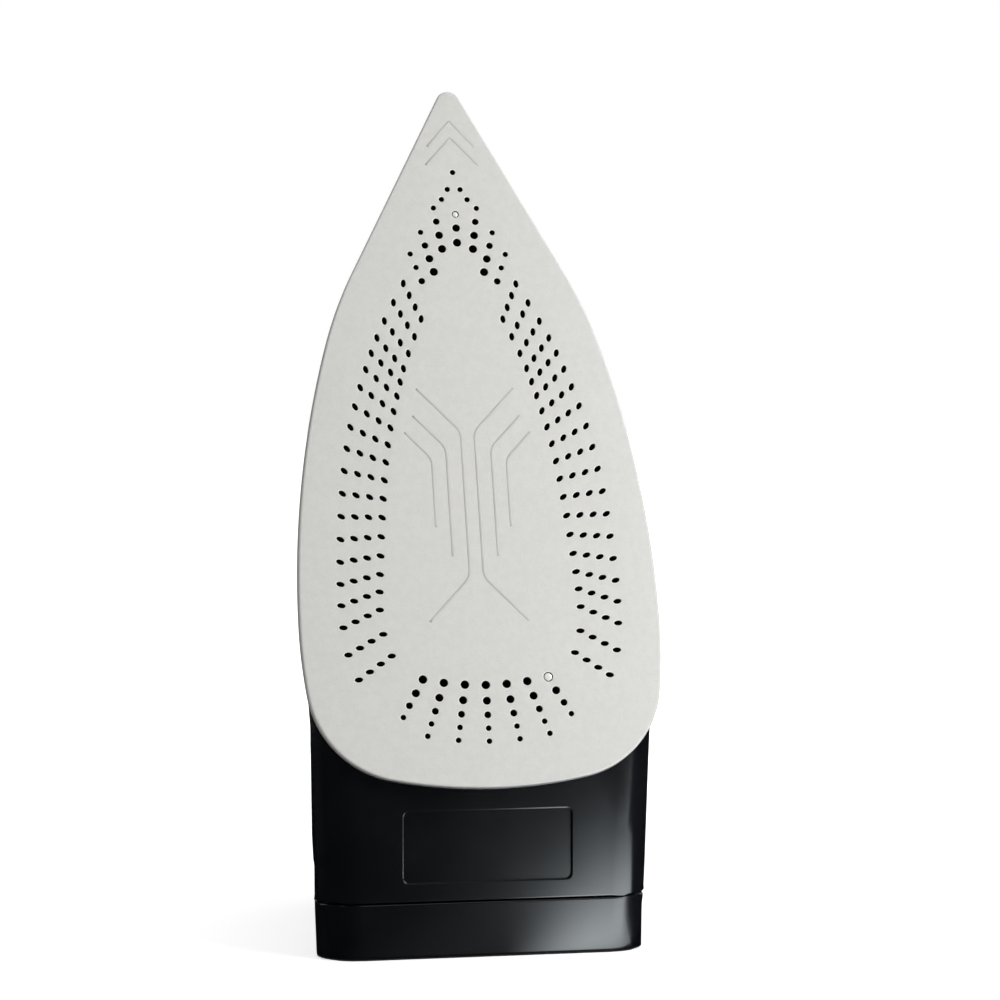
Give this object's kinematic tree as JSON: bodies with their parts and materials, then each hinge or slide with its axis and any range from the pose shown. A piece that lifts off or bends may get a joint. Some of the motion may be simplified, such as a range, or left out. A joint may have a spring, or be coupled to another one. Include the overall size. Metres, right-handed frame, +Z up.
{
  "type": "clothes iron",
  "caption": "Steam iron parked on its heel: perforated pale sole, black housing, tank under an open handle with dial, slider and pump buttons.",
  "frame": {"origin": "on the floor under the middle of the parked iron's box, which stands on its heel", "axes": "+Z up from heel to nose, -Y the way the sole faces, X across the sole"},
  "size_m": [0.1202, 0.176, 0.2842],
  "materials": {
    "sole_coating": "pale warm grey ceramic coating, matte, very fine speckle",
    "steel": "plain zinc-plated steel",
    "cast_aluminium": "die-cast, matte",
    "element_steel": "drawn tube",
    "brass": "turned",
    "seal_rubber": "silicone rubber, matt",
    "heat_plastic": "heat-resistant moulding, matt",
    "black_plastic": "black moulded plastic with a soft shine",
    "tank_plastic": "clear smoke-grey moulding",
    "handle_plastic": "black moulded plastic, fine satin texture",
    "grip_rubber": "soft dark grey inlay, matt",
    "console_plastic": "dark grey moulded plastic, smooth",
    "button_plastic": "mid grey moulded plastic, smooth",
    "dial_plastic": "black moulded plastic, smooth",
    "trim_chrome": "plated trim",
    "gland_rubber": "black rubber, matt",
    "lens_plastic": "amber-red clear moulding",
    "lamp_glass": "neon lamp glass",
    "spring_steel": "coiled spring wire, drawn here as a tube",
    "natural_plastic": "natural white moulding",
    "terminal_white": "white heat-proof moulding",
    "wire_sleeve": "glass-fibre sleeve",
    "hose_rubber": "silicone hose"
  },
  "bodies": {
    "iron": {"soleplate": "sole_coating", "sole_screws": "steel", "heating_element": "element_steel", "heated_base": "cast_aluminium", "chamber_seal": "seal_rubber", "chamber_cover": "cast_aluminium", "chamber_screws": "steel", "thermostat": "brass", "thermal_fuse": "steel", "heat_frame": "heat_plastic", "frame_screws": "steel", "lower_housing": "black_plastic", "rear_cover": "black_plastic", "rear_cover_screws": "steel", "tank_lower": "tank_plastic", "tank_upper": "tank_plastic", "grip_pad": "grip_rubber", "handle_lower": "handle_plastic", "handle_top": "handle_plastic", "console": "console_plastic", "dial_bezel": "trim_chrome", "filler_pin": "steel", "filler_neck": "natural_plastic", "nozzle_ring": "trim_chrome", "spray_nozzle": "dial_plastic", "valve_seat": "seal_rubber", "needle_spring": "spring_steel", "spray_spring": "spring_steel", "spray_pump": "natural_plastic", "burst_spring": "spring_steel", "burst_pump": "natural_plastic", "valve_block": "natural_plastic", "suction_tube": "hose_rubber", "burst_tube": "hose_rubber", "spray_hose": "hose_rubber", "terminal_block": "terminal_white", "terminal_screws": "brass", "cord_clamp": "terminal_white", "clamp_screws": "steel", "lead_wires": "wire_sleeve", "pilot_lens": "lens_plastic", "pilot_lamp": "lamp_glass", "handle_screws": "steel"},
    "dial": {"temperature_dial": "dial_plastic", "dial_shaft": "natural_plastic"},
    "steam_slider": {"steam_lever": "button_plastic"},
    "needle": {"needle_rod": "brass"},
    "spray_key": {"spray_button": "button_plastic", "spray_piston": "natural_plastic"},
    "burst_key": {"burst_button": "button_plastic", "burst_piston": "natural_plastic"},
    "lid": {"filler_lid": "console_plastic"},
    "gland": {"cord_gland": "gland_rubber"}
  },
  "joints": [
    {"name": "dial_turn", "type": "hinge", "parent": "iron", "child": "dial", "pos_m": [0, -0.00928, 0.10433], "axis": [0, 0.9511, -0.309], "range_deg": [0, 270]},
    {"name": "steam_slide", "type": "slide", "parent": "iron", "child": "steam_slider", "axis": [-1, 0, 0], "range_m": [0, 0.014]},
    {"name": "needle_rise", "type": "slide", "parent": "iron", "child": "needle", "axis": [0, 0.9511, -0.309], "range_m": [0, 0.003], "deforming": ["needle_spring"]},
    {"name": "spray_press", "type": "slide", "parent": "iron", "child": "spray_key", "axis": [0, -0.9511, 0.309], "range_m": [0, 0.005], "stiffness_N_per_m": 600, "deforming": ["spray_spring"]},
    {"name": "burst_press", "type": "slide", "parent": "iron", "child": "burst_key", "axis": [0, -0.9511, 0.309], "range_m": [0, 0.005], "stiffness_N_per_m": 600, "deforming": ["burst_spring"]},
    {"name": "lid_swing", "type": "hinge", "parent": "iron", "child": "lid", "pos_m": [0, 0.04041, 0.22486], "axis": [-1, 0, 0], "range_deg": [0, 105]},
    {"name": "gland_swing", "type": "hinge", "parent": "iron", "child": "gland", "pos_m": [0, 0.03595, 0.02024], "axis": [-1, 0, 0], "range_deg": [-14, 25]}
  ],
  "couplings": [
    {"joint": "needle_rise", "follows": "steam_slide", "ratio": 0.21429}
  ]
}
